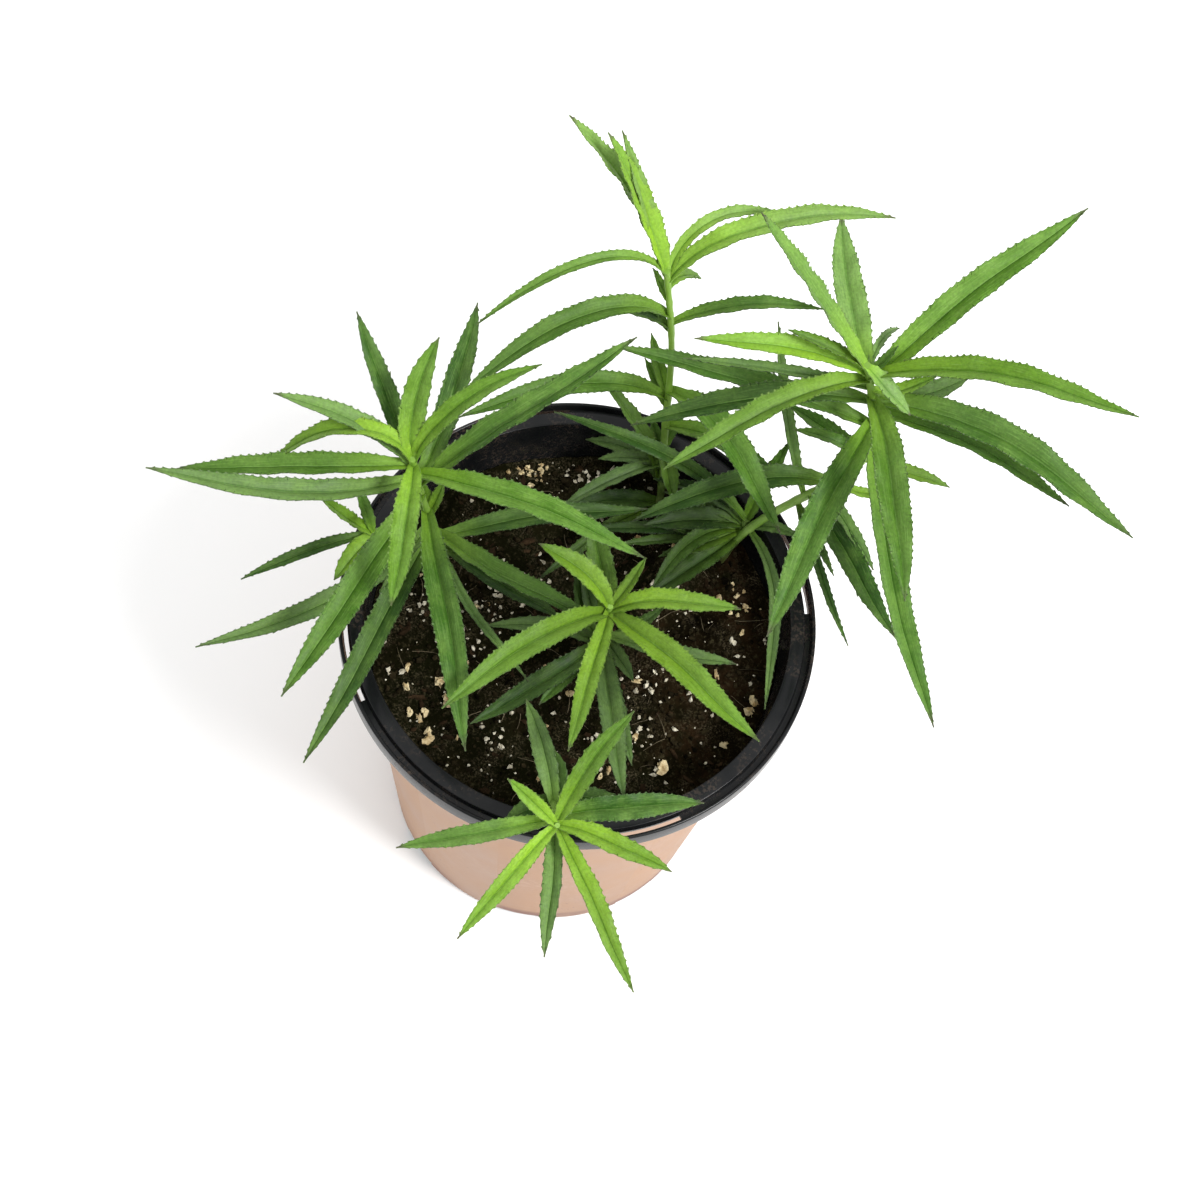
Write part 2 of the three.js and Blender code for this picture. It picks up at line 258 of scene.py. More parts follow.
def addCamera():
    deselectAll()
    bpy.ops.object.camera_add(location=camera["place"])
    made = bpy.context.object
    tilt = Matrix.Rotation(math.radians(90 - camera["elevation"]), 4, "X")
    turn = Matrix.Rotation(math.radians(camera["roll"]), 4, "Z")
    made.matrix_world = Matrix.Translation(camera["place"]) @ tilt @ turn
    made.data.lens = camera["focal"]
    made.data.sensor_width = camera["sensor"]
    made.data.clip_start = camera["clipStart"]
    bpy.context.scene.camera = made


addCamera()
print("camera set")

# Pot. The roundings of its edges are shares of the wall.
pot = {
    "rimRadius": 0.0825,
    "height": 0.165,
    "baseRadius": 0.0635,
    "wall": 0.0012,
    "mouthRadius": 0.0736,
    "ledgeRadius": 0.0786,
    "ledgeDrop": 0.0004,
    "channelDepth": 0.0026,
    "channelInner": 0.0791,
    "channelOuter": 0.0807,
    "lipInner": 0.0812,
    "skirt": 0.008,
    "baseEdge": 0.002,
    "lipOuterRound": 0.55,
    "lipInnerRound": 0.5,
    "ledgeRound": 0.35,
    "mouthRound": 0.45,
    "footRound": 2.5,
    "sides": 160,
    "slots": 4,
    "slotMiddle": 25.0,
    "slotSpan": 23.0,
    "slotInset": 0.0001,
    "notches": 8,
    "notchSpan": 16.0,
    "notchHeight": 0.004,
    "notchInner": 0.057,
}


# Rings of a rounded top edge, from the wall at a radius up to the flat, which lies inward of the
# wall where the reach is negative.
def roundEdge(radius, height, reach):
    rings = []
    for step in range(5):
        turn = math.radians(90 * step / 4)
        inset = reach * (1 - math.cos(turn))
        rings.append((radius + inset, height - abs(reach) * (1 - math.sin(turn))))
    return rings


# Radius and height of the rings, up the outside, over the rim and down the inside to the floor.
def potRings():
    top = pot["height"]
    wall = pot["wall"]
    base = pot["baseRadius"]
    edge = pot["baseEdge"]
    ledge = top - pot["ledgeDrop"]
    channel = top - pot["channelDepth"]
    skirtInside = pot["rimRadius"] - wall
    return [
        (base - edge, 0.0),
        (base - 0.3 * edge, 0.3 * edge),
        (base, edge),
        (pot["mouthRadius"] + wall, ledge - wall),
        (pot["ledgeRadius"] - wall / 2, ledge - wall),
        (pot["channelInner"] - wall / 2, channel - wall),
        (skirtInside, channel - wall),
        (skirtInside, top - pot["skirt"]),
        (pot["rimRadius"], top - pot["skirt"]),
        *roundEdge(pot["rimRadius"], top, -pot["lipOuterRound"] * wall),
        *reversed(roundEdge(pot["lipInner"], top, pot["lipInnerRound"] * wall)),
        (pot["channelOuter"], channel),
        (pot["channelInner"], channel),
        *roundEdge(pot["ledgeRadius"], ledge, -pot["ledgeRound"] * wall),
        *reversed(roundEdge(pot["mouthRadius"], ledge, pot["mouthRound"] * wall)),
        (base - wall, pot["footRound"] * wall),
        (base - pot["footRound"] * wall, wall),
    ]


# A block bent round the axis, from a subdivided cube.
def ringCutter(inner, outer, low, high, middle, span):
    deselectAll()
    bpy.ops.mesh.primitive_cube_add(size=1)
    cutter = bpy.context.object
    editAll()
    bpy.ops.mesh.subdivide(number_cuts=9)
    bpy.ops.object.mode_set(mode="OBJECT")
    for vertex in cutter.data.vertices:
        angle = math.radians(middle + span * vertex.co.x)
        radius = inner + (outer - inner) * (vertex.co.y + 0.5)
        height = low + (high - low) * (vertex.co.z + 0.5)
        vertex.co = (radius * math.cos(angle), radius * math.sin(angle), height)
    mergeAndFaceOut(cutter)
    return cutter


def cutAway(piece, cutters):
    cutter = joinAll(cutters, "cutter")
    addModifier(piece, "BOOLEAN", operation="DIFFERENCE", object=cutter, solver="EXACT")
    applyModifiers(piece)
    bpy.data.objects.remove(cutter)


def potOutsideMaterial():
    material, tree, shader, place = newMaterial("potTerracottaPlastic")
    cloud = noiseOn(tree, place, 38.0, 4.0)
    body = ramp(tree, cloud, [(0.3, (0.322, 0.176, 0.101)), (0.7, (0.380, 0.221, 0.131))])
    specks = addNode(tree, "ShaderNodeTexVoronoi", Scale=330.0)
    wire(tree, place, specks.inputs["Vector"])
    few = greyRamp(tree, noiseOn(tree, place, 90.0, 2.0), 0.55, 0.62)
    dots = greyRamp(tree, specks.outputs["Distance"], 0.10, 0.16, 1.0, 0.0)
    speckled = mixColours(tree, times(tree, dots, few), body, (0.20, 0.11, 0.09))
    dust = times(tree, dustMask(tree, place, 24.0, 420.0), 0.20)
    dusty = mixColours(tree, dust, speckled, (0.50, 0.34, 0.24))
    # A darker reddish line along the edge of the base
    atBase = greyRamp(tree, axisOf(tree, place, "Z"), 0.0080, 0.0120, 0.85, 0.0)
    broken = greyRamp(tree, noiseOn(tree, place, 26.0, 3.0), 0.42, 0.52, 0.2, 1.0)
    withBaseLine = mixColours(tree, times(tree, atBase, broken), dusty, (0.170, 0.068, 0.048))
    roughness = greyRamp(tree, cloud, 0.3, 0.7, 0.42, 0.56)
    setSurface(tree, shader, withBaseLine, roughness, 0.32, noiseOn(tree, place, 900.0, 2.0), 0.12, 0.0003)
    return material


def potInsideMaterial():
    material, tree, shader, place = newMaterial("potBlackPlastic")
    cloud = noiseOn(tree, place, 60.0, 4.0)
    body = ramp(tree, cloud, [(0.35, (0.005, 0.0055, 0.006)), (0.7, (0.012, 0.0125, 0.013))])
    dust = dustMask(tree, place, 30.0, 700.0)
    dusty = mixColours(tree, times(tree, dust, 0.6), body, (0.09, 0.062, 0.044))
    roughness = sums(tree, "ADD", greyRamp(tree, cloud, 0.3, 0.7, 0.17, 0.27), times(tree, dust, 0.3))
    setSurface(tree, shader, dusty, roughness, 0.18, noiseOn(tree, place, 700.0, 2.0), 0.08, 0.0003)
    return material


# Terracotta on the wall's outside and on the underside, and black on all the rest.
def paintPot(piece):
    wall = pot["wall"]
    wallTop = pot["height"] - pot["ledgeDrop"] - wall
    slope = (pot["mouthRadius"] + wall - pot["baseRadius"]) / wallTop
    for face in piece.data.polygons:
        height = face.center.z
        fromWall = math.hypot(face.center.x, face.center.y) - (pot["baseRadius"] + slope * height)
        outside = height < wallTop and -0.6 * wall < fromWall < 0.25 * wall
        face.material_index = 0 if outside or height < 0.0001 else 1


# The base disc is extruded up the outside, over the rim and down the inside to the floor.
def makePot():
    rings = potRings()
    deselectAll()
    bpy.ops.mesh.primitive_circle_add(
        vertices=pot["sides"], radius=rings[0][0], fill_type="NGON", location=(0, 0, 0))
    piece = bpy.context.object
    piece.data.materials.append(potOutsideMaterial())
    piece.data.materials.append(potInsideMaterial())
    editAll()
    bpy.ops.mesh.flip_normals()
    bpy.ops.mesh.select_mode(type="EDGE")
    bpy.ops.mesh.select_all(action="SELECT")
    for (radius, height), (nextRadius, nextHeight) in zip(rings, rings[1:]):
        bpy.ops.mesh.extrude_edges_move(
            TRANSFORM_OT_translate={"value": (0, 0, nextHeight - height)})
        scale = nextRadius / radius
        bpy.ops.transform.resize(value=(scale, scale, 1), center_override=(0, 0, nextHeight))
    bpy.ops.mesh.edge_face_add()
    bpy.ops.object.mode_set(mode="OBJECT")
    mergeAndFaceOut(piece)
    cutters = []
    slotFloor = pot["height"] - pot["channelDepth"] - 2 * pot["wall"]
    slotInner, slotOuter = pot["channelInner"] + pot["slotInset"], pot["channelOuter"] - pot["slotInset"]
    for i in range(pot["slots"]):
        middle = pot["slotMiddle"] + 360 * i / pot["slots"]
        cutters.append(ringCutter(slotInner, slotOuter, slotFloor, pot["height"], middle, pot["slotSpan"]))
    for i in range(pot["notches"]):
        cutters.append(ringCutter(
            pot["notchInner"], pot["rimRadius"], -0.001, pot["notchHeight"],
            360 * i / pot["notches"], pot["notchSpan"]))
    cutAway(piece, cutters)
    paintPot(piece)
    smooth(piece, 35)
    piece.name = "nursery_pot"
    settle(piece, ["pot"])


makePot()
print("pot made")

# Soil
soil = {
    "level": 0.143,
    "gap": 0.0003,
    "floorInset": 0.0012,
    "rings": 100,
    "sides": 300,
    "lumpHeight": 0.0015,
    "edgeRise": 0.0012,
    "grit": 0.0015,
    "gritScale": 260,
    "dustScale": 1500,
    "fibres": 80,
    "fibreLengths": (0.003, 0.012),
    "fibreRadii": (0.00006, 0.00014),
    "fibreSteps": 5,
    "seed": 7,
}
# Loose bits: how many, their least and greatest size, a power that is higher for more small ones,
# how far the middle stands off the soil, the bounds of the height, and the length. These last
# three are shares of the size.
grains = {
    "crumbs": (2600, (0.0006, 0.0028), 3, 0.1, (0.6, 0.9), 1.0),
    "bark": (170, (0.0014, 0.0036), 2, 0.05, (0.35, 0.6), 1.6),
    "perlite": (330, (0.0005, 0.0022), 2.4, 0.25, (0.7, 0.95), 1.0),
    "chips": (40, (0.0012, 0.0026), 1, 0.2, (0.5, 0.7), 1.2),
}
# Tan chips that catch the eye: x, y and size.
bigChips = [
    (0.039, -0.042, 0.0046), (-0.042, -0.028, 0.0036), (-0.038, -0.034, 0.0040),
    (-0.050, -0.041, 0.0026), (-0.045, -0.040, 0.0027), (-0.042, -0.047, 0.0033),
    (0.0665, -0.011, 0.0032), (0.0655, -0.015, 0.0034), (0.028, -0.033, 0.0030),
]
# Gatherings of small grains: x, y, spread, how many, and whether they are tan.
clusters = [
    (-0.029, 0.061, 0.0055, 34, True), (-0.050, 0.048, 0.0050, 10, False),
    (-0.008, 0.064, 0.0060, 16, False), (-0.033, 0.006, 0.0080, 30, False),
    (-0.054, 0.000, 0.0060, 16, False), (-0.034, -0.013, 0.0030, 4, False),
    (-0.022, -0.049, 0.0080, 18, False), (0.029, -0.030, 0.0060, 16, False),
    (0.031, -0.011, 0.0070, 14, False), (0.014, -0.037, 0.0050, 8, False),
    (0.041, -0.027, 0.0015, 2, False), (0.069, 0.012, 0.0025, 6, False),
    (0.054, 0.026, 0.0070, 12, True),
]


def insideRadius(height):
    bottom = pot["baseRadius"] - pot["wall"]
    share = (height - pot["wall"]) / (pot["height"] - pot["wall"])
    return bottom + (pot["mouthRadius"] - bottom) * share


# Broad lumps, and a rise towards the pot's wall.
def soilRise(x, y):
    share = math.hypot(x, y) / (insideRadius(soil["level"]) - soil["gap"])
    lumps = math.sin(x / 0.009 + 1.3) * math.cos(y / 0.011) + 0.7 * math.sin(x / 0.005 - y / 0.0065)
    return 0.6 * soil["lumpHeight"] * lumps + soil["edgeRise"] * min(share, 1) ** 6


def soilHeight(x, y):
    place = Vector((x, y, 0))
    coarse = noise.fractal(place * soil["gritScale"], 0.9, 2.1, 4)
    fine = noise.noise(place * soil["dustScale"])
    return soil["level"] + soilRise(x, y) + soil["grit"] * (0.6 * coarse + 0.25 * fine)


def soilMaterial():
    material, tree, shader, place = newMaterial("pottingSoil")
    cloud = noiseOn(tree, place, 45.0, 5.0, 0.65)
    body = ramp(tree, cloud, [
        (0.34, (0.0015, 0.0012, 0.0004)), (0.48, (0.0068, 0.0047, 0.0017)),
        (0.60, (0.0185, 0.0098, 0.0042)), (0.70, (0.0060, 0.0060, 0.0016))])
    # Greener and blacker in broad patches, most of all on the left
    fromLeft = greyRamp(tree, axisOf(tree, place, "X"), -0.03, 0.05, 0.12, -0.10)
    patches = sums(tree, "ADD", noiseOn(tree, place, 24.0, 2.0), fromLeft)
    mossy = mixColours(tree, greyRamp(tree, patches, 0.42, 0.54, 0.0, 0.85), body, (0.0052, 0.0056, 0.0016))
    grain = noiseOn(tree, place, 620.0, 4.0, 0.7)
    lit = mixColours(tree, greyRamp(tree, grain, 0.55, 0.72), mossy, (0.052, 0.044, 0.022))
    dust = times(tree, dustMask(tree, place, 70.0, 1500.0), 0.45)
    pale = mixColours(tree, dust, lit, (0.16, 0.13, 0.08))
    setSurface(tree, shader, pale, greyRamp(tree, grain, 0.3, 0.7, 0.95, 0.7), 0.02, grain, 0.9, 0.0008)
    return material


def grainMaterial(name, dark, light, patchScale, shine=0.2):
    material, tree, shader, place = newMaterial(name)
    cloud = noiseOn(tree, place, patchScale, 3.0)
    body = ramp(tree, cloud, [(0.35, dark), (0.65, light)])
    pits = noiseOn(tree, place, 1900.0, 2.0)
    pitted = mixColours(tree, greyRamp(tree, pits, 0.56, 0.7, 0.0, 0.55), body, dark)
    setSurface(tree, shader, pitted, greyRamp(tree, pits, 0.3, 0.7, 0.95, 0.75), shine, pits, 0.6, 0.0004)
    return material


# A disc spun from a line of vertices, raised by the lumps, with its edge drawn down to the floor.
def makeSoilBody():
    deselectAll()
    bpy.ops.mesh.primitive_plane_add(size=1, location=(0, 0, 0))
    piece = bpy.context.object
    edge = insideRadius(soil["level"]) - soil["gap"]
    editAll()
    bpy.ops.mesh.merge(type="CENTER")
    bpy.ops.object.mode_set(mode="OBJECT")
    piece.data.vertices[0].co = (0, 0, soil["level"])
    editAll()
    for _ in range(soil["rings"]):
        bpy.ops.mesh.extrude_vertices_move(
            TRANSFORM_OT_translate={"value": (edge / soil["rings"], 0, 0)})
    bpy.ops.mesh.select_all(action="SELECT")
    bpy.ops.mesh.spin(
        steps=soil["sides"], angle=2 * math.pi, center=(0, 0, 0), axis=(0, 0, 1), use_auto_merge=True)
    bpy.ops.mesh.select_all(action="SELECT")
    bpy.ops.mesh.remove_doubles(threshold=0.00001)
    bpy.ops.mesh.select_all(action="DESELECT")
    bpy.ops.mesh.select_mode(type="EDGE")
    bpy.ops.mesh.select_non_manifold(extend=False, use_wire=False, use_boundary=True)
    floor = pot["wall"] + soil["gap"]
    bpy.ops.mesh.extrude_edges_move(
        TRANSFORM_OT_translate={"value": (0, 0, floor - soil["level"])})
    scale = (insideRadius(floor) - soil["gap"] - soil["floorInset"]) / edge
    bpy.ops.transform.resize(value=(scale, scale, 1), center_override=(0, 0, floor))
    bpy.ops.mesh.edge_face_add()
    bpy.ops.object.mode_set(mode="OBJECT")
    for vertex in piece.data.vertices:
        if vertex.co.z > soil["level"] - 0.001:
            height = soilHeight(vertex.co.x, vertex.co.y)
            radius = math.hypot(vertex.co.x, vertex.co.y)
            limit = insideRadius(height) - soil["gap"]
            pull = min(1, limit / radius) if radius > 0.9 * limit else 1
            vertex.co = (vertex.co.x * pull, vertex.co.y * pull, height)
    mergeAndFaceOut(piece, 0.0000001)
    piece.data.materials.append(soilMaterial())
    smooth(piece, 60)
    piece.name = "potting_soil"
    settle(piece, ["soil"])


# Rough masters, each shaped from a sphere by its own noise.
def makeGrainMasters(segments, rings, roughness, seeds):
    masters = []
    for seed in seeds:
        deselectAll()
        bpy.ops.mesh.primitive_uv_sphere_add(
            segments=segments, ring_count=rings, radius=0.5, location=(0, 0, 0))
        master = bpy.context.object
        for vertex in master.data.vertices:
            push = noise.noise(vertex.co * 3.1 + Vector((seed, 0, seed)))
            vertex.co *= 1 + roughness * push
        masters.append(master)
    return masters


# A place is x, y, z, size, height share and length share.
def scatter(masters, places, name, material, smoothAngle):
    copies = []
    for index, (x, y, z, size, flat, long) in enumerate(places):
        copy = copyOf(masters[index % len(masters)])
        turn = Matrix.Rotation(dice.uniform(0, 6.28), 4, "Z")
        tilt = Matrix.Rotation(dice.uniform(-0.6, 0.6), 4, "X")
        length = size * long * dice.uniform(0.8, 1.3)
        width = size * dice.uniform(0.7, 1.0)
        shape = Matrix.Diagonal((length, width, size * flat, 1))
        copy.data.transform(Matrix.Translation((x, y, z)) @ turn @ tilt @ shape)
        copies.append(copy)
    piece = joinAll(copies, name)
    giveMaterial(piece, material)
    smooth(piece, smoothAngle)
    settle(piece, [])


def randomOnSoil(reach):
    radius = reach * math.sqrt(dice.random())
    angle = dice.uniform(0, 2 * math.pi)
    return radius * math.cos(angle), radius * math.sin(angle)


def grainPlaces(count, sizes, power, lift, flats, long):
    reach = insideRadius(soil["level"]) - 0.0025
    places = []
    for _ in range(count):
        x, y = randomOnSoil(reach)
        size = sizes[0] + (sizes[1] - sizes[0]) * dice.random() ** power
        places.append((x, y, soilHeight(x, y) + lift * size, size, dice.uniform(*flats), long))
    return places


def clusterPlaces(x, y, spread, count):
    places = []
    for _ in range(count):
        spotX, spotY = x + dice.gauss(0, 0.6 * spread), y + dice.gauss(0, 0.6 * spread)
        if math.hypot(spotX, spotY) < insideRadius(soil["level"]) - 0.002:
            size = dice.uniform(0.0006, 0.0021)
            places.append((spotX, spotY, soilHeight(spotX, spotY) + 0.25 * size, size, 0.8, 1.0))
    return places


def makeGrains():
    crumbMasters = makeGrainMasters(5, 3, 0.8, (1, 2, 3, 4))
    paleMasters = makeGrainMasters(6, 4, 1.3, (5, 6, 7, 8))
    chipMasters = makeGrainMasters(10, 7, 1.4, (9, 10, 11))
    places = {kind: grainPlaces(*form) for kind, form in grains.items()}
    bigOnes = [(x, y, soilHeight(x, y) + 0.25 * size, size, 0.6, 1.0) for x, y, size in bigChips]
    places["chips"] = bigOnes + places["chips"]
    for x, y, spread, count, isTan in clusters:
        places["chips" if isTan else "perlite"] += clusterPlaces(x, y, spread, count)
    crumb = grainMaterial("peatCrumb", (0.0030, 0.0024, 0.0012), (0.030, 0.023, 0.011), 190.0, 0.02)
    bark = grainMaterial("barkBit", (0.007, 0.0045, 0.0022), (0.045, 0.027, 0.014), 160.0, 0.03)
    perlite = grainMaterial("perlite", (0.36, 0.32, 0.23), (0.80, 0.75, 0.60), 300.0)
    chip = grainMaterial("paleChip", (0.34, 0.23, 0.10), (0.78, 0.66, 0.40), 260.0)
    scatter(crumbMasters, places["crumbs"], "peat_crumbs", crumb, 50)
    scatter(crumbMasters, places["bark"], "bark_bits", bark, 35)
    scatter(paleMasters, places["perlite"], "perlite_grains", perlite, 28)
    scatter(chipMasters, places["chips"], "pale_chips", chip, 28)
    for master in crumbMasters + paleMasters + chipMasters:
        bpy.data.objects.remove(master)


# Dry fibres that lie on the soil, lifted a little in the middle.
def makeFibres():
    reach = insideRadius(soil["level"]) - 0.006
    steps = soil["fibreSteps"]
    fibres = []
    for _ in range(soil["fibres"]):
        x, y = randomOnSoil(reach)
        heading = dice.uniform(0, 2 * math.pi)
        length = dice.uniform(*soil["fibreLengths"])
        bend = dice.uniform(-0.8, 0.8)
        points = []
        for step in range(steps + 1):
            share = step / steps
            points.append((x, y, soilHeight(x, y) + 0.0003 + 0.0008 * math.sin(math.pi * share)))
            x += length / steps * math.cos(heading + bend * share)
            y += length / steps * math.sin(heading + bend * share)
        fibres.append(makeTube(points, [dice.uniform(*soil["fibreRadii"])] * len(points), 1))
    piece = joinAll(fibres, "soil_fibres")
    giveMaterial(piece, grainMaterial("dryFibre", (0.035, 0.028, 0.015), (0.19, 0.155, 0.095), 120.0))
    smooth(piece, 60)
    settle(piece, [])


# A curve with a round bevel, made a mesh. Radii follow the points.
def makeTube(points, radii, bevelSteps):
    deselectAll()
    bpy.ops.curve.primitive_nurbs_path_add()
    tube = bpy.context.object
    tube.data.splines.clear()
    spline = tube.data.splines.new("POLY")
    spline.points.add(len(points) - 1)
    for point, place, radius in zip(spline.points, points, radii):
        point.co = (*place, 1)
        point.radius = radius
    tube.data.dimensions = "3D"
    tube.data.bevel_depth = 1.0
    tube.data.bevel_resolution = bevelSteps
    tube.data.use_fill_caps = True
    pick(tube)
    bpy.ops.object.convert(target="MESH")
    return bpy.context.object


dice = random.Random(soil["seed"])
makeSoilBody()
makeGrains()
makeFibres()
print("soil made")

# Leafy stems, in millimetres. A leaf is: share of the way up the stem, heading, rise at the root,
# rise that it bends towards, length, width, swing of the heading, and tone. Headings are degrees
# that turn left from +X.
millimetre = 0.001
leftStem = {
    "radius": 1.4,
    "path": [(-50, 12, 128), (-51, 12, 145), (-53, 13, 170), (-57, 9, 205), (-60, 5, 240)],
    "leaves": [
        (1.00, 124, 70, 30, 42, 7.5, -70, "fresh"),
        (0.99, 58, 80, -5, 56, 6, -38, "fresh"),
        (0.98, 158, 88, -105, 62, 6, 55, "lime"),
        (0.97, 196, 10, -25, 76, 7.5, -10, "mid"),
        (0.97, 281, 35, -80, 50, 7.5, -15, "fresh"),
        (0.94, 164, 70, -10, 54, 6, 25, "grey"),
        (0.91, 134, 55, 20, 54, 6, -10, "deep"),
        (0.91, 350, 35, -30, 80, 8, 0, "mid"),
        (0.88, 222, 15, 15, 86, 7, -44, "grey"),
        (0.86, 72, 25, -5, 64, 7.5, 26, "deep"),
        (0.83, 30, 50, 10, 86, 8.5, 12, "rich"),
        (0.76, 255, 15, -25, 82, 9, -8, "mid"),
        (0.62, 292, 20, -30, 85, 9, 0, "rich"),
        (0.58, 60, 60, 50, 14, 4, 10, "lime"),
        (0.56, 120, 60, 50, 13, 4, 0, "lime"),
        (0.53, 258, 15, -5, 93, 6.5, -62, "grey"),
        (0.49, 262, 15, -20, 94, 8, -10, "deep"),
        (0.45, 328, 25, -10, 68, 7.5, 20, "mid"),
        (0.40, 218, 25, -45, 40, 3, 60, "grey"),
        (0.40, 26, 16, -8, 74, 7, -12, "deep"),
        (0.40, 296, 10, -15, 62, 3, 35, "grey"),
        (0.36, 336, 10, -10, 52, 6.5, 5, "deep"),
        (0.33, 46, 20, -10, 30, 4.5, -20, "fresh"),
    ],
}
leftBranch = {
    "radius": 1.1,
    "path": [(-52, 12, 152), (-58, 13, 158), (-66, 9, 168), (-72, 1, 190)],
    "leaves": [
        (1.00, 192, 55, 50, 28, 5, -10, "lime"),
        (1.00, 136, 70, 50, 22, 3.5, -5, "mid"),
        (0.98, 238, 25, -25, 22, 6, 15, "lime"),
        (0.95, 210, 25, -25, 48, 4, 8, "deep"),
    ],
}
centreStem = {
    "radius": 1.3,
    "path": [(10, -14, 128), (10, -12, 145), (10, -10, 165), (10, -8, 192)],
    "leaves": [
        (1.00, 136, 60, -5, 34, 7, 45, "lime"),
        (0.98, 54, 50, 40, 22, 4, 10, "lime"),
        (0.97, 17, 50, -35, 46, 7, -14, "lime"),
        (0.97, 266, 20, -25, 52, 6.5, 0, "lime"),
        (0.96, 322, 35, -15, 70, 8.5, 5, "lime"),
        (0.95, 220, 45, -25, 72, 8, 15, "fresh"),
        (0.88, 108, 35, 10, 35, 8, 12, "fresh"),
        (0.70, 350, 10, -5, 46, 6, 15, "grey"),
        (0.66, 280, 25, -20, 60, 7.5, 15, "grey"),
        (0.66, 314, 30, -15, 20, 5, -5, "grey"),
        (0.63, 236, 10, -10, 55, 7, -18, "deep"),
        (0.59, 290, 0, -10, 44, 6, 10, "grey"),
        (0.57, 144, 10, 10, 36, 4.5, -60, "mid"),
        (0.55, 164, 35, -25, 42, 5, 40, "grey"),
        (0.55, 30, 30, 10, 26, 4.5, 20, "olive"),
        (0.52, 226, 20, -25, 30, 5.5, 20, "mid"),
        (0.44, 112, 50, 15, 34, 4.5, 12, "deep"),
    ],
}
frontStem = {
    "radius": 1.2,
    "path": [(2, -53, 128), (3, -57, 145), (5, -70, 168), (8, -86, 193)],
    "leaves": [
        (0.99, 164, 50, 40, 26, 4.5, 0, "lime"),
        (0.97, 352, 30, -25, 40, 6.5, -8, "lime"),
        (0.97, 242, 10, -15, 48, 5.5, 0, "lime"),
        (0.96, 78, 50, 10, 44, 6.5, -25, "fresh"),
        (0.96, 307, 5, -25, 58, 6.2, 0, "lime"),
        (0.90, 277, 10, -25, 44, 5.5, 0, "grey"),
        (0.89, 206, 10, -25, 52, 6, -10, "olive"),
        (0.84, 18, 20, -20, 49, 7.5, 0, "deep"),
        (0.65, 108, 25, 0, 36, 6.5, 18, "grey"),
        (0.60, 72, 20, -10, 18, 5, 55, "deep"),
        (0.57, 210, 45, -5, 20, 6, 25, "deep"),
        (0.57, 22, 10, -20, 24, 6, -15, "deep"),
    ],
}
backStem = {
    "radius": 1.5,
    "path": [(19, 52, 128), (20, 58, 145), (16, 68, 180), (12, 76, 220), (5, 78, 262)],
    "leaves": [
        (1.00, 130, 62, 45, 67, 8, 68, "pale"),
        (0.99, 146, 72, 55, 60, 7, 32, "lime"),
        (0.98, 150, 68, 62, 58, 5, 5, "pale"),
        (0.97, 46, 54, -34, 81, 7, -38, "pale"),
        (0.96, 98, 72, -55, 58, 4, -112, "pale"),
        (0.97, 197, 82, -78, 78, 3.4, 24, "olive"),
        (0.94, 75, 30, -85, 20, 5, -55, "pale"),
        (0.88, 150, 60, 45, 14, 2.5, 0, "fresh"),
        (0.83, 200, 57, -60, 82, 7, 30, "mid"),
        (0.80, 32, 30, -20, 52, 5, -28, "mid"),
        (0.78, 178, 50, -15, 24, 4, 10, "deep"),
        (0.76, 158, 50, 50, 14, 2.5, 0, "mid"),
        (0.55, 330, 40, -50, 68, 9, -25, "mid"),
        (0.52, 134, 45, 50, 24, 4, -10, "fresh"),
        (0.52, 192, 50, -30, 80, 7, 26, "mid"),
        (0.48, 136, 45, 40, 20, 3, 5, "fresh"),
        (0.42, 355, 30, -30, 50, 7, -25, "mid"),
        (0.33, 86, 35, 10, 20, 4, -25, "mid"),
        (0.28, 208, 25, -30, 42, 5.5, 20, "grey"),
        (0.24, 112, 65, 25, 22, 5, 20, "mid"),
        (0.21, 138, 60, -55, 36, 6, 45, "grey"),
        (0.20, 138, 80, 20, 54, 6, 25, "fresh"),
        (0.14, 196, 25, -15, 34, 7, 5, "deep"),
        (0.26, 176, 60, -50, 26, 4.5, 20, "grey"),
        (0.32, 288, 55, -50, 22, 6, 5, "fresh"),
        (0.12, 222, 35, -20, 58, 4.5, 14, "olive"),
    ],
}
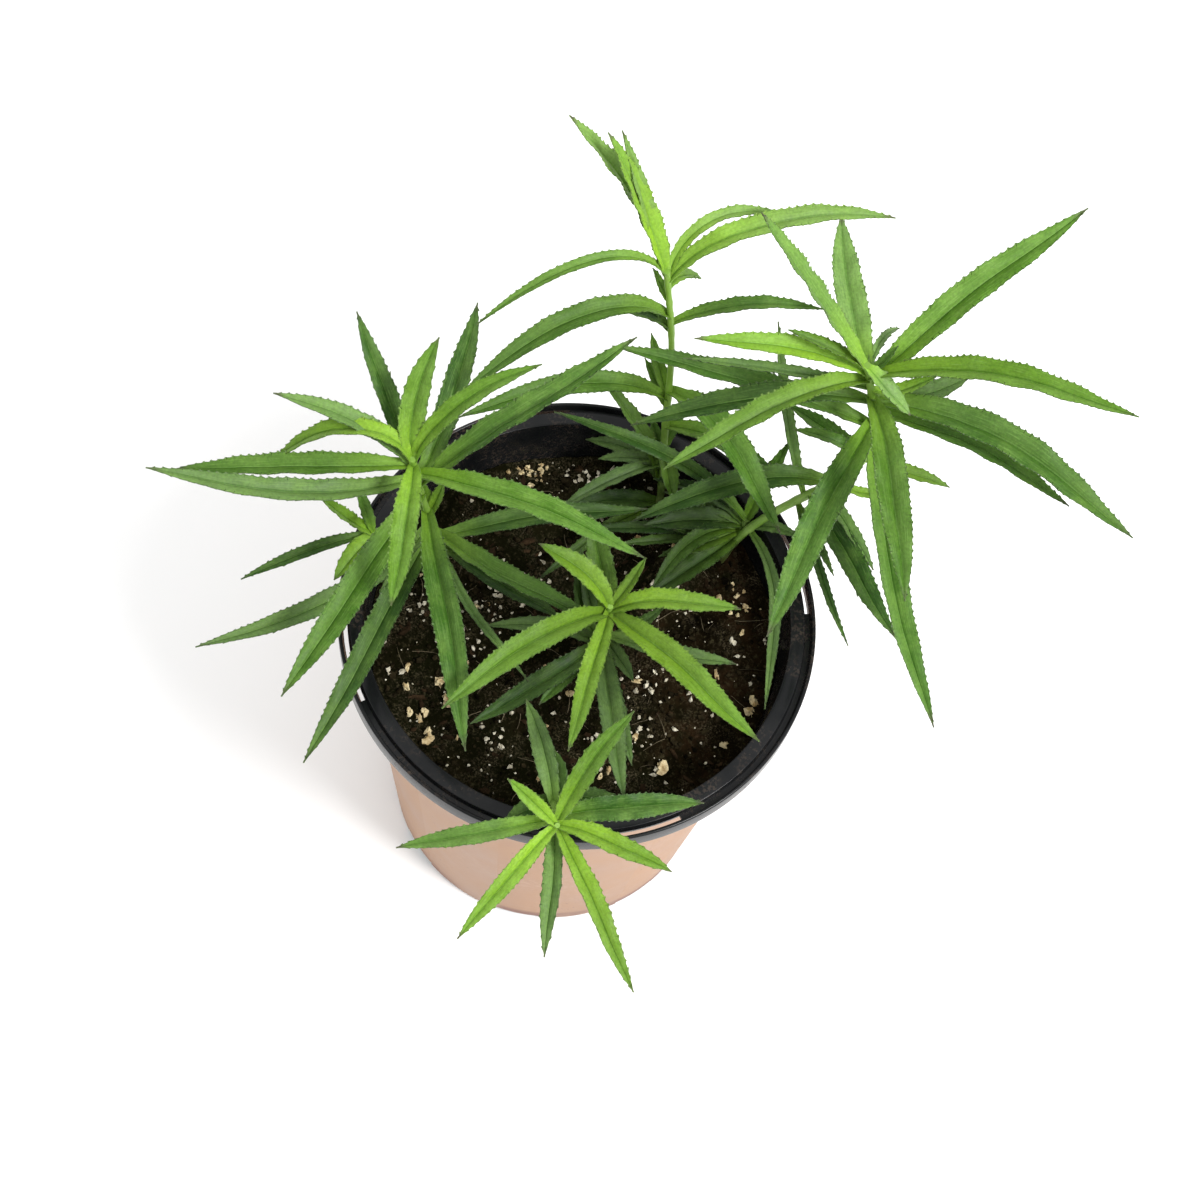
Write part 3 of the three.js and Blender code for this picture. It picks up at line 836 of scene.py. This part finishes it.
rightStem = {
    "radius": 1.7,
    "path": [(44, 39, 128), (46, 42, 145), (50, 44, 160), (58, 49, 171), (69, 56, 178), (81, 61, 190),
             (84, 63, 210), (79, 64, 235), (73, 64, 255)],
    "leaves": [
        (1.00, 168, 55, 45, 70, 8, 0, "olive"),
        (1.00, 326, 5, -50, 22, 6, 10, "haze"),
        (0.99, 186, 50, 5, 32, 4.5, -5, "fresh"),
        (0.97, 184, 40, -15, 60, 6.5, 10, "lime"),
        (0.97, 34, 45, 65, 14, 3, 5, "mid"),
        (0.96, 120, 20, 0, 56, 9, -20, "haze"),
        (0.96, 357, 55, -12, 89, 8, -13, "fresh"),
        (0.96, 96, 30, -65, 32, 2.5, -50, "grey"),
        (0.95, 212, 32, -32, 78, 8, 15, "fresh"),
        (0.94, 48, 42, 18, 86, 9, -8, "mid"),
        (0.91, 184, 15, -5, 62, 4, 5, "grey"),
        (0.91, 358, -5, 25, 22, 4.5, 45, "lime"),
        (0.87, 355, 30, -25, 97, 10, -30, "rich"),
        (0.88, 290, 22, -35, 72, 9.5, -4, "mid"),
        (0.88, 2, 0, 15, 34, 7, 40, "grey"),
        (0.86, 190, 25, -45, 82, 8, 10, "deep"),
        (0.82, 352, 28, -20, 72, 7, -20, "mid"),
        (0.78, 250, 5, -35, 82, 10, 10, "rich"),
        (0.76, 178, 25, -5, 92, 8, 5, "rich"),
        (0.72, 283, -10, -20, 100, 8.5, 20, "rich"),
        (0.62, 0, 5, -35, 34, 5, 5, "lime"),
        (0.50, 184, 20, -35, 74, 8, 36, "deep"),
        (0.61, 152, 35, -15, 32, 6, 10, "mid"),
        (0.61, 168, 65, -15, 30, 5, 25, "mid"),
        (0.52, 338, -40, 20, 26, 3.5, 60, "lime"),
        (0.48, 294, 30, -30, 36, 5, 25, "grey"),
        (0.44, 296, 25, -22, 62, 8, 20, "deep"),
        (0.40, 292, -5, -40, 55, 3, 25, "deep"),
        (0.40, 302, 0, -40, 30, 3, 20, "deep"),
        (0.42, 128, 40, 35, 62, 4, -20, "grey"),
    ],
}
rightCrown = {
    "radius": 1.5,
    "path": [(45, 41, 140), (47, 43, 146), (51, 49, 164)],
    "leaves": [
        (1.00, 160, 50, -10, 82, 5, 22, "deep"),
        (0.92, 188, 30, -15, 38, 7.5, 20, "deep"),
        (0.92, 311, 24, -14, 76, 4, -54, "grey"),
        (0.92, 150, 45, -20, 38, 5, 40, "deep"),
        (0.90, 74, 65, 30, 36, 5, -10, "mid"),
        (0.90, 166, 40, -30, 32, 5, 10, "grey"),
        (0.84, 226, 20, -10, 34, 5.5, -20, "fresh"),
        (0.80, 194, 40, -30, 46, 5.5, 70, "mid"),
        (0.75, 236, 20, -15, 47, 8, -12, "mid"),
        (0.85, 352, 65, 0, 26, 4, -15, "grey"),
        (0.70, 206, 35, 0, 26, 5, -15, "mid"),
        (0.62, 187, 22, -14, 56, 4.5, 10, "deep"),
        (0.58, 196, 25, -12, 44, 4.5, 6, "olive"),
    ],
}

# Stems: points along one, the share of the radius that it loses towards its top, the swelling where
# a leaf stands, as a share of the radius and of the length, and the steps from one point of its
# path to the next.
stalk = {
    "points": 90,
    "taper": 0.35,
    "swelling": 0.14,
    "swellingReach": 0.012,
    "curveSteps": 20,
}
# Leaves. Fold, bulge, groove, pucker and ripple are shares of the half width, and the twist is in
# radians.
leaf = {
    "thickness": 0.00040,
    "rootShare": 0.42,
    "widestAt": 0.42,
    "taperPower": 2.4,
    "bendEarly": 0.5,
    "rootFold": 0.66,
    "tipFold": 0.36,
    "bulge": 0.12,
    "groove": 0.03,
    "grooveWidth": 0.06,
    "pucker": 0.07,
    "puckerScale": (16, 2.2),
    "ripple": 0.10,
    "rippleTurns": 34,
    "steps": 160,
    "meander": 2.0,
    "meanderTurns": 9,
    "toothSpacing": 0.0024,
    "toothDepth": 0.00095,
    "toothOfWidth": 0.13,
    "toothOfHalf": 0.26,
    "toothSizes": (0.75, 1.15),
    "toothLean": 0.28,
    "toothStart": 0.12,
    "toothedFrom": 0.7,
    "columns": [-1.0, -0.82, -0.5, -0.2, -0.07, 0.0, 0.07, 0.2, 0.5, 0.82, 1.0],
    "twist": 0.28,
    "toneSpread": 0.1,
    "shadeSpread": 0.5,
    "seed": 11,
}
# How far the edge stands out at shares of a tooth: a notch, a long hollow back and a forward point.
toothProfile = [(0.0, -0.72), (0.5, -0.28), (0.93, 0.72)]
# Tone of a leaf: how lime it is, how grey, how deep, and how light at the least.
tones = {
    "lime": (1.0, 0.0, 0.0, 0.30),
    "fresh": (0.55, 0.05, 0.15, 0.12),
    "mid": (0.22, 0.05, 0.45, 0.15),
    "deep": (0.0, 0.05, 1.0, 0.0),
    "rich": (0.12, 0.0, 0.62, 0.10),
    "grey": (0.05, 0.9, 0.35, 0.12),
    "olive": (0.45, 0.3, 0.4, 0.2),
    "pale": (0.90, 0.70, 0.0, 0.32),
    "haze": (0.40, 1.0, 0.0, 0.75),
}


# Light that goes a little way into green tissue.
def letLightIn(shader, weight):
    shader.inputs["Subsurface Weight"].default_value = weight
    shader.inputs["Subsurface Radius"].default_value = (0.5, 0.9, 0.2)
    shader.inputs["Subsurface Scale"].default_value = 0.0012


def leafMaterial():
    material, tree, shader, place = newMaterial("yarrowLeaf")
    uv = addNode(tree, "ShaderNodeUVMap", uv_map="leafPlace").outputs["UV"]
    along, across = axisOf(tree, uv, "X"), axisOf(tree, uv, "Y")
    tone = addNode(tree, "ShaderNodeAttribute", attribute_name="leafTone")
    toneSplit = addNode(tree, "ShaderNodeSeparateColor")
    wire(tree, tone.outputs["Color"], toneSplit.inputs["Color"])
    lime, grey, deep = (toneSplit.outputs[name] for name in ("Red", "Green", "Blue"))
    shade = tone.outputs["Alpha"]
    offMiddle = sums(tree, "SUBTRACT", across, 0.5)
    cloud = noiseOn(tree, place, 120.0, 4.0)
    # Lime fades towards the tip, then the deep and the grey leaves
    limeHere = times(tree, lime, greyRamp(tree, along, 0.30, 0.95, 1.0, 0.45))
    green = mixColours(tree, limeHere, (0.055, 0.146, 0.009), (0.146, 0.262, 0.014))
    green = mixColours(tree, deep, green, (0.019, 0.063, 0.005))
    green = mixColours(tree, times(tree, grey, 0.7), green, (0.112, 0.178, 0.062))
    mottled = mixColours(tree, greyRamp(tree, cloud, 0.46, 0.72, 0.0, 0.36), green, (0.150, 0.262, 0.045))
    # Younger, yellower colour at the root, farther out on a lime leaf
    fromYoung = sums(tree, "SUBTRACT", along, times(tree, lime, 0.32))
    youngShare = greyRamp(tree, fromYoung, -0.05, 0.25, 0.60, 0.0)
    rooted = mixColours(tree, youngShare, mottled, (0.190, 0.345, 0.020))
    # Streaks that run along the blade, other ones on each leaf
    stretch = addNode(tree, "ShaderNodeMapping", Scale=(11.0, 30.0, 1.0))
    wire(tree, uv, stretch.inputs["Vector"])
    apart = addNode(tree, "ShaderNodeCombineXYZ")
    wire(tree, times(tree, shade, 90.0), apart.inputs["Z"])
    moved = addNode(tree, "ShaderNodeVectorMath", operation="ADD")
    wire(tree, stretch.outputs["Vector"], moved.inputs[0])
    wire(tree, apart.outputs["Vector"], moved.inputs[1])
    veins = noiseOn(tree, moved.outputs["Vector"], 1.0, 4.0, 0.62)
    veined = mixColours(tree, greyRamp(tree, veins, 0.50, 0.70, 0.0, 0.42), rooted, (0.165, 0.290, 0.068))
    veined = mixColours(tree, greyRamp(tree, veins, 0.30, 0.46, 0.40, 0.0), veined, (0.026, 0.085, 0.004))
    # Painted light on the fold: one half of the blade, left or right by the leaf's shade, is painted a
    # little paler, as the lit side
    chance = sums(tree, "FRACT", times(tree, shade, 37.0))
    whichHalf = sums(tree, "SUBTRACT", times(tree, sums(tree, "GREATER_THAN", chance, 0.5), 2.0), 1.0)
    sided = times(tree, offMiddle, whichHalf)
    paintedLitHalf = mixColours(tree, greyRamp(tree, sided, 0.0, 0.03, 0.0, 0.16), veined, (0.180, 0.300, 0.075))
    # Painted shade and highlight at the midrib: a thin dark line of painted shade on one side, and a thin
    # pale line of painted highlight beside it
    creaseShadeMask = times(
        tree, greyRamp(tree, sided, -0.075, -0.030), greyRamp(tree, sided, -0.020, 0.0, 0.42, 0.0))
    shadowed = mixColours(tree, creaseShadeMask, paintedLitHalf, (0.020, 0.075, 0.005))
    fromRib = sums(tree, "ABSOLUTE", sums(tree, "SUBTRACT", sided, 0.012))
    ribHighlightMask = greyRamp(tree, fromRib, 0.008, 0.024, 0.42, 0.0)
    ribHighlighted = mixColours(tree, ribHighlightMask, shadowed, (0.200, 0.345, 0.095))
    # The last stretch of the tip and the teeth are a dry purple-brown
    dryTip = times(tree, greyRamp(tree, along, 0.93, 0.985), greyRamp(tree, shade, 0.1, 0.7, 0.3, 0.9))
    tipped = mixColours(tree, dryTip, ribHighlighted, (0.062, 0.042, 0.040))
    atEdge = greyRamp(tree, sums(tree, "ABSOLUTE", offMiddle), 0.450, 0.5, 0.0, 0.50)
    edged = mixColours(tree, atEdge, tipped, (0.034, 0.062, 0.022))
    # The underside is paler and greyer
    back = addNode(tree, "ShaderNodeAttribute", attribute_name="underside").outputs["Fac"]
    backColour = mixColours(tree, lime, (0.098, 0.160, 0.064), (0.190, 0.310, 0.050))
    both = mixColours(tree, times(tree, back, 0.6), edged, backColour)
    # Painted shade and light: leaves deep in the plant are painted darker, as shade, and the top ones
    # paler, as lit, and each has its own lightness
    fromHeart = addNode(tree, "ShaderNodeVectorMath", operation="DISTANCE")
    wire(tree, place, fromHeart.inputs[0])
    fromHeart.inputs[1].default_value = (0.010, 0.015, 0.150)
    paintedHeartShade = greyRamp(tree, fromHeart.outputs["Value"], 0.020, 0.085, 0.42, 1.0)
    paintedTopLight = greyRamp(tree, axisOf(tree, place, "Z"), 0.215, 0.290, 1.0, 1.16)
    level = times(tree, times(tree, paintedHeartShade, paintedTopLight), greyRamp(tree, shade, 0.0, 1.0, 0.78, 1.36))
    grain = greyRamp(tree, noiseOn(tree, place, 1000.0, 3.0, 0.7), 0.36, 0.64, 0.86, 1.14)
    toneAndPaintedLight = mixColours(tree, 1.0, both, times(tree, level, grain), "MULTIPLY")
    roughness = greyRamp(tree, cloud, 0.3, 0.7, 0.44, 0.62)
    relief = sums(tree, "ADD", times(tree, veins, 0.5), noiseOn(tree, place, 1400.0, 2.0))
    setSurface(tree, shader, toneAndPaintedLight, roughness, 0.18, relief, 0.30, 0.00025)
    letLightIn(shader, 0.12)
    return material


# Browner at the soil and light green above it.
def stemMaterial():
    material, tree, shader, place = newMaterial("yarrowStem")
    fromSoil = greyRamp(tree, axisOf(tree, place, "Z"), soil["level"], 0.190)
    cloud = noiseOn(tree, place, 150.0, 4.0)
    body = ramp(tree, fromSoil, [
        (0.0, (0.07, 0.08, 0.02)), (0.35, (0.10, 0.19, 0.025)), (1.0, (0.17, 0.31, 0.035))])
    mottled = mixColours(tree, greyRamp(tree, cloud, 0.45, 0.7, 0.0, 0.5), body, (0.24, 0.37, 0.09))
    roughness = greyRamp(tree, cloud, 0.3, 0.7, 0.45, 0.6)
    setSurface(tree, shader, mottled, roughness, 0.5, noiseOn(tree, place, 900.0, 2.0), 0.3, 0.0003)
    letLightIn(shader, 0.1)
    return material


# Share of the full width at a share of the length, without the teeth.
def bladeOutline(along):
    if along < leaf["widestAt"]:
        swell = math.sin(math.pi / 2 * along / leaf["widestAt"])
        return leaf["rootShare"] + (1 - leaf["rootShare"]) * swell
    return 1 - ((along - leaf["widestAt"]) / (1 - leaf["widestAt"])) ** leaf["taperPower"]


# Rows of a blade, plain near the root and then toothed. Each row is its share of the length and
# how far the edge stands out there.
def bladeRows(teeth):
    rows = [(leaf["toothStart"] * step / 5, 0.0) for step in range(5)]
    size = (1 - leaf["toothStart"]) / teeth
    for tooth in range(teeth):
        for share, reach in toothProfile:
            rows.append((leaf["toothStart"] + size * (tooth + share), reach))
    rows.append((1.0, 0.0))
    return rows


# A flat grid. Its x and y are the shares along and across the blade, and its z keeps how far the
# edge stands out in that row.
def makeLeafMaster(teeth):
    rows = bladeRows(teeth)
    columns = leaf["columns"]
    deselectAll()
    bpy.ops.mesh.primitive_grid_add(
        x_subdivisions=len(rows) - 1, y_subdivisions=len(columns) - 1, size=1, calc_uvs=True)
    master = bpy.context.object
    mesh = master.data
    mesh.uv_layers[0].name = "leafPlace"
    for vertex in mesh.vertices:
        along, reach = rows[round((vertex.co.x + 0.5) * (len(rows) - 1))]
        column = round((vertex.co.y + 0.5) * (len(columns) - 1))
        vertex.co = (along, columns[column], reach)
    places = mesh.uv_layers["leafPlace"].data
    for loop in mesh.loops:
        spot = mesh.vertices[loop.vertex_index].co
        places[loop.index].uv = (spot.x, 0.5 + 0.5 * spot.y)
    return master


def leafDirection(heading, lift):
    turn, slope = math.radians(heading), math.radians(lift)
    level = math.cos(slope)
    return Vector((level * math.cos(turn), level * math.sin(turn), math.sin(slope)))


# The root bends more than the tip, and the mean stays a half.
def bendShare(along):
    return along * (1 + leaf["bendEarly"]) - 1.5 * leaf["bendEarly"] * along ** 2


# The point at a share of the way along evenly spaced points.
def pointOn(points, share):
    at = min(share, 1) * (len(points) - 1)
    low = min(int(at), len(points) - 2)
    return points[low].lerp(points[low + 1], at - low)


# The middle line of a leaf, which arches and wanders a little.
def middleLine(root, form, phase):
    _, heading, rise, tipRise, length, _, swing, _ = form
    steps = leaf["steps"]
    middles = [root.copy()]
    for step in range(steps):
        share = bendShare((step + 0.5) / steps)
        sway = leaf["meander"] * math.sin(leaf["meanderTurns"] * step / steps + phase)
        way = leafDirection(heading + swing * share + sway, rise + (tipRise - rise) * share + sway)
        middles.append(middles[-1] + way * (length * millimetre / steps))
    return middles


# Height of the blade over its middle plane, as a share of the half width. A point is given by its
# shares along and across, and by its distance from the middle once the teeth are cut.
def bladeHeight(along, across, fromMiddle, phase):
    isRight = 1 if across > 0 else 0
    alongScale, acrossScale = leaf["puckerScale"]
    fold = leaf["rootFold"] + (leaf["tipFold"] - leaf["rootFold"]) * along
    hollow = -fold * (1 - fromMiddle) + leaf["bulge"] * math.sin(math.pi * fromMiddle)
    groove = leaf["groove"] * math.exp(-(across / leaf["grooveWidth"]) ** 2)
    pucker = leaf["pucker"] * noise.noise(Vector((alongScale * along, acrossScale * across, phase)))
    ripple = leaf["ripple"] * fromMiddle ** 2 * math.sin(leaf["rippleTurns"] * along + phase + 2 * isRight)
    return hollow - groove + pucker + ripple


# Every point of a leaf carries the leaf's tone and, as alpha, its own lightness.
def colourLeaf(copy, tone):
    *amounts, leastShade = tones[tone]
    spread = leaf["toneSpread"]
    toneValue = [min(1, max(0, value + dice.uniform(-spread, spread))) for value in amounts]
    shade = min(1, leastShade + leaf["shadeSpread"] * dice.random())
    layer = copy.data.color_attributes.new("leafTone", "FLOAT_COLOR", "POINT")
    for item in layer.data:
        item.color = (*toneValue, shade)


# Bends a copy of the master along its own arching middle line.
def makeLeaf(master, teeth, root, form):
    _, heading, rise, tipRise, _, width, swing, tone = form
    width = width * millimetre
    copy = copyOf(master)
    phase = dice.uniform(0, 6.28)
    twist = dice.uniform(-leaf["twist"], leaf["twist"])
    sizes = [[dice.uniform(*leaf["toothSizes"]) for _ in range(teeth + 1)] for _ in range(2)]
    middles = middleLine(root, form, phase)
    toothDepth = min(leaf["toothDepth"], leaf["toothOfWidth"] * width)
    start, toothedFrom = leaf["toothStart"], leaf["toothedFrom"]
    for vertex in copy.data.vertices:
        along, across, tooth = vertex.co
        if abs(across) == 1 and tooth > 0.5:
            along = min(0.999, along + leaf["toothLean"] / teeth)
        bent = bendShare(along)
        turn = math.radians(heading + swing * bent)
        side = Vector((-math.sin(turn), math.cos(turn), 0))
        up = leafDirection(heading + swing * bent, rise + (tipRise - rise) * bent).cross(side)
        roll = twist * math.sin(math.pi * along)
        side, up = side * math.cos(roll) + up * math.sin(roll), up * math.cos(roll) - side * math.sin(roll)
        half = width / 2 * max(bladeOutline(along), 0.02)
        edge = max(0, (abs(across) - toothedFrom) / (1 - toothedFrom))
        size = sizes[1 if across > 0 else 0][max(0, int((along - start) / (1 - start) * teeth))]
        # Shallower teeth in the last eighth, towards the tip
        depth = min(toothDepth * min(1, 8 * (1 - along)), leaf["toothOfHalf"] * half)
        reach = half * across + math.copysign(depth * tooth * edge * size, across)
        height = bladeHeight(along, across, abs(reach) / half, phase)
        vertex.co = pointOn(middles, along) + side * reach + up * half * height
    colourLeaf(copy, tone)
    return copy


# A smooth curve through the path's points, as evenly spaced points.
def stemPoints(path, count):
    corners = [Vector(point) * millimetre for point in path]
    corners = [2 * corners[0] - corners[1]] + corners + [2 * corners[-1] - corners[-2]]
    fine = []
    for a, b, c, d in zip(corners, corners[1:], corners[2:], corners[3:]):
        knots = [0.0]
        for first, second in ((a, b), (b, c), (c, d)):
            knots.append(knots[-1] + (second - first).length ** 0.5)
        t0, t1, t2, t3 = knots
        for step in range(stalk["curveSteps"]):
            t = t1 + (t2 - t1) * step / stalk["curveSteps"]
            low = a.lerp(b, (t - t0) / (t1 - t0))
            middle = b.lerp(c, (t - t1) / (t2 - t1))
            high = c.lerp(d, (t - t2) / (t3 - t2))
            lowMiddle = low.lerp(middle, (t - t0) / (t2 - t0))
            middleHigh = middle.lerp(high, (t - t1) / (t3 - t1))
            fine.append(lowMiddle.lerp(middleHigh, (t - t1) / (t2 - t1)))
    fine.append(corners[-2])
    reached = [0.0]
    for first, second in zip(fine, fine[1:]):
        reached.append(reached[-1] + (second - first).length)
    points = []
    for step in range(count + 1):
        points.append(pointAt(fine, reached, step / count))
    return points


def pointAt(fine, reached, share):
    wanted = share * reached[-1]
    for index in range(1, len(fine)):
        if reached[index] >= wanted - 1e-9:
            step = (wanted - reached[index - 1]) / (reached[index] - reached[index - 1])
            return fine[index - 1].lerp(fine[index], step)
    return fine[-1].copy()


def makeStem(stem):
    points = stemPoints(stem["path"], stalk["points"])
    joints = [form[0] for form in stem["leaves"]]
    radii = []
    for index in range(len(points)):
        share = index / (len(points) - 1)
        nearness = max(math.exp(-((share - joint) / stalk["swellingReach"]) ** 2) for joint in joints)
        taper = 1.0 - stalk["taper"] * share
        radii.append(stem["radius"] * millimetre * (taper + stalk["swelling"] * nearness))
    return points, makeTube(points, radii, 3)


def makeLeafyStem(name, stems, node):
    blades, tubes = [], []
    for stem in stems:
        points, tube = makeStem(stem)
        tubes.append(tube)
        for form in stem["leaves"]:
            teeth = max(5, round(form[4] * millimetre / leaf["toothSpacing"] * (1 - leaf["toothStart"])))
            nearest = min(masters, key=lambda count: abs(count - teeth))
            blades.append(makeLeaf(masters[nearest], nearest, pointOn(points, form[0]), form))
    blade = joinAll(blades, name + "_blades")
    giveMaterial(blade, leafFinish)
    thicken(blade)
    stemTube = joinAll(tubes, name + "_stems")
    giveMaterial(stemTube, stemFinish)
    mergeAndFaceOut(stemTube, 0.000001)
    piece = joinAll([blade, stemTube], name)
    smooth(piece, 60)
    settle(piece, [node])


# Gives the blades their thickness and marks the points of the lower skin.
def thicken(blade):
    blade.vertex_groups.new(name="lower")
    addModifier(
        blade, "SOLIDIFY", thickness=leaf["thickness"], offset=-1.0, use_even_offset=False,
        shell_vertex_group="lower")
    applyModifiers(blade)
    mark = blade.data.attributes.new("underside", "FLOAT", "POINT")
    for vertex in blade.data.vertices:
        mark.data[vertex.index].value = 1.0 if len(vertex.groups) else 0.0
    blade.vertex_groups.remove(blade.vertex_groups["lower"])


dice = random.Random(leaf["seed"])
leafFinish, stemFinish = leafMaterial(), stemMaterial()
masters = {teeth: makeLeafMaster(teeth) for teeth in (6, 12, 20, 28, 36)}
makeLeafyStem("stem_left", [leftStem, leftBranch], "leafy_stem_left")
makeLeafyStem("stem_centre", [centreStem], "leafy_stem_centre")
makeLeafyStem("stem_front", [frontStem], "leafy_stem_front")
makeLeafyStem("stem_back", [backStem], "leafy_stem_back")
makeLeafyStem("stem_right", [rightStem, rightCrown], "leafy_stem_right")
for master in masters.values():
    bpy.data.objects.remove(master)
print("leafy stems made")

# Floor and light
stage = {
    "floorSize": 6.0,
    "floorColour": (0.915, 0.92, 0.92),
    "skyLow": 0.70,
    "skyHigh": 1.34,
    "keyPower": 31.0,
    "keyPlace": (1.05, -0.50, 1.45),
    "keyAim": (0, 0, 0.1),
    "keySize": 0.55,
}


def makeFloor():
    deselectAll()
    bpy.ops.mesh.primitive_plane_add(size=stage["floorSize"], location=(0, 0, 0))
    floor = bpy.context.object
    floor.name = "pale_floor"
    material, tree, shader, place = newMaterial("paleFloor")
    colour = stage["floorColour"]
    tint = tuple(0.99 * value for value in colour)
    faint = ramp(tree, noiseOn(tree, place, 3.0, 2.0), [(0.3, tint), (0.7, colour)])
    wire(tree, faint, shader.inputs["Base Color"])
    shader.inputs["Roughness"].default_value = 0.8
    shader.inputs["Specular IOR Level"].default_value = 0.1
    floor.data.materials.append(material)


def addKeyLight():
    deselectAll()
    bpy.ops.object.light_add(type="AREA", location=stage["keyPlace"])
    light = bpy.context.object
    light.data.shape = "DISK"
    light.data.size = stage["keySize"]
    light.data.energy = stage["keyPower"]
    aim = Vector(stage["keyAim"]) - Vector(stage["keyPlace"])
    light.rotation_euler = aim.to_track_quat("-Z", "Y").to_euler()


# White all round, and brighter overhead.
def setSky():
    world = bpy.context.scene.world or bpy.data.worlds.new("studio")
    bpy.context.scene.world = world
    world.use_nodes = True
    tree = world.node_tree
    background = tree.nodes["Background"]
    background.inputs["Color"].default_value = (1.0, 1.0, 1.0, 1)
    height = axisOf(tree, addNode(tree, "ShaderNodeTexCoord").outputs["Generated"], "Z")
    strength = greyRamp(tree, height, 0.0, 1.0, stage["skyLow"], stage["skyHigh"])
    wire(tree, strength, background.inputs["Strength"])


makeFloor()
addKeyLight()
setSky()
bpy.context.scene.view_settings.view_transform = "Standard"
print("stage set")
